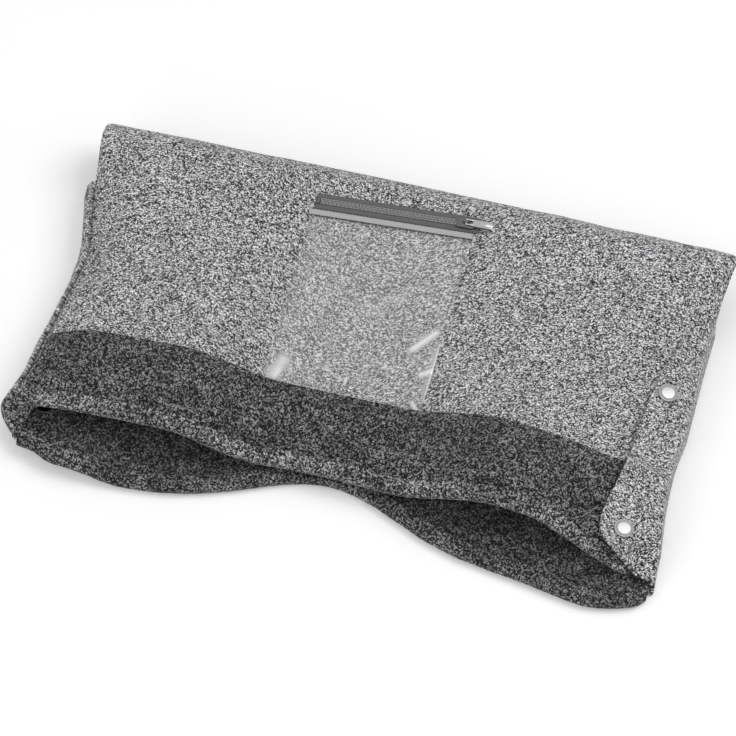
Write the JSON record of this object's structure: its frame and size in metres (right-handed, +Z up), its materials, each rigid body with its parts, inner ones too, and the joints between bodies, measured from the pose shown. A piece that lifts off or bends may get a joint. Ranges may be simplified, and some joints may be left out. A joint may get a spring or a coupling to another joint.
{
  "type": "stroller hand muff",
  "caption": "Padded felt hand muff for a pushchair handlebar, with plush lining and cuff, press-stud side flaps, a clear zipped phone pocket and a pinched mouth with two hand openings.",
  "frame": {"origin": "centre of the bounding box at its base, where the back panel lies", "axes": "+X along the handlebar towards the side whose flap closes over the front, +Y towards the fold, +Z up, out of the front panel"},
  "size_m": [0.506, 0.3205, 0.0556],
  "materials": {
    "melange_felt": "grey melange felt-like weave, matt",
    "dark_plush": "dark grey short-pile plush",
    "white_wadding": "white polyester wadding",
    "clear_vinyl": "clear soft vinyl sheet, glossy",
    "pale_hem": "pale grey smooth coated strip",
    "zip_tape": "dark grey woven tape",
    "zip_plastic": "dark grey nylon teeth",
    "slider_metal": "grey die-cast metal",
    "stud_metal": "bright silver pressed metal"
  },
  "bodies": {
    "muff": {"felt_shell": "melange_felt", "wadding": "white_wadding", "plush_lining": "dark_plush", "front_cuff": "dark_plush", "front_rim_binding": "dark_plush", "back_rim_binding": "dark_plush", "right_upper_stud": "stud_metal", "right_upper_ring": "stud_metal", "right_lower_stud": "stud_metal", "right_lower_ring": "stud_metal", "left_upper_stud": "stud_metal", "left_upper_ring": "stud_metal", "left_lower_stud": "stud_metal", "left_lower_ring": "stud_metal", "centre_cap": "stud_metal", "centre_socket": "stud_metal", "centre_stud": "stud_metal", "centre_ring": "stud_metal", "pocket_window": "clear_vinyl", "window_hem": "pale_hem", "zip_tape_upper": "zip_tape", "zip_tape_lower": "zip_tape", "zip_teeth_upper": "zip_plastic", "zip_teeth_lower": "zip_plastic", "zip_stop_upper": "slider_metal", "zip_stop_lower": "slider_metal", "zip_bottom_stop": "slider_metal"},
    "right_flap_body": {"right_flap": "melange_felt", "right_upper_cap": "stud_metal", "right_upper_socket": "stud_metal", "right_lower_cap": "stud_metal", "right_lower_socket": "stud_metal"},
    "left_flap_body": {"left_flap": "melange_felt", "left_upper_cap": "stud_metal", "left_upper_socket": "stud_metal", "left_lower_cap": "stud_metal", "left_lower_socket": "stud_metal"},
    "slider_body": {"zip_slider": "slider_metal", "slider_base": "slider_metal"},
    "pull_body": {"zip_pull": "slider_metal"}
  },
  "joints": [
    {"name": "right_flap_open", "type": "hinge", "parent": "muff", "child": "right_flap_body", "pos_m": [0.2464, 0, 0.001], "axis": [0, 1, 0], "range_deg": [0, 120]},
    {"name": "left_flap_open", "type": "hinge", "parent": "muff", "child": "left_flap_body", "pos_m": [-0.2464, 0, 0.03], "axis": [0, 1, 0], "range_deg": [0, 90]},
    {"name": "zip_slide", "type": "slide", "parent": "muff", "child": "slider_body", "axis": [-0.9982, -0.0589, -0.007], "range_m": [0, 0.103]},
    {"name": "pull_swing", "type": "hinge", "parent": "slider_body", "child": "pull_body", "pos_m": [0.0437, 0.12159, 0.05355], "axis": [0.0593, -0.9912, -0.1182], "range_deg": [0, 165]}
  ]
}
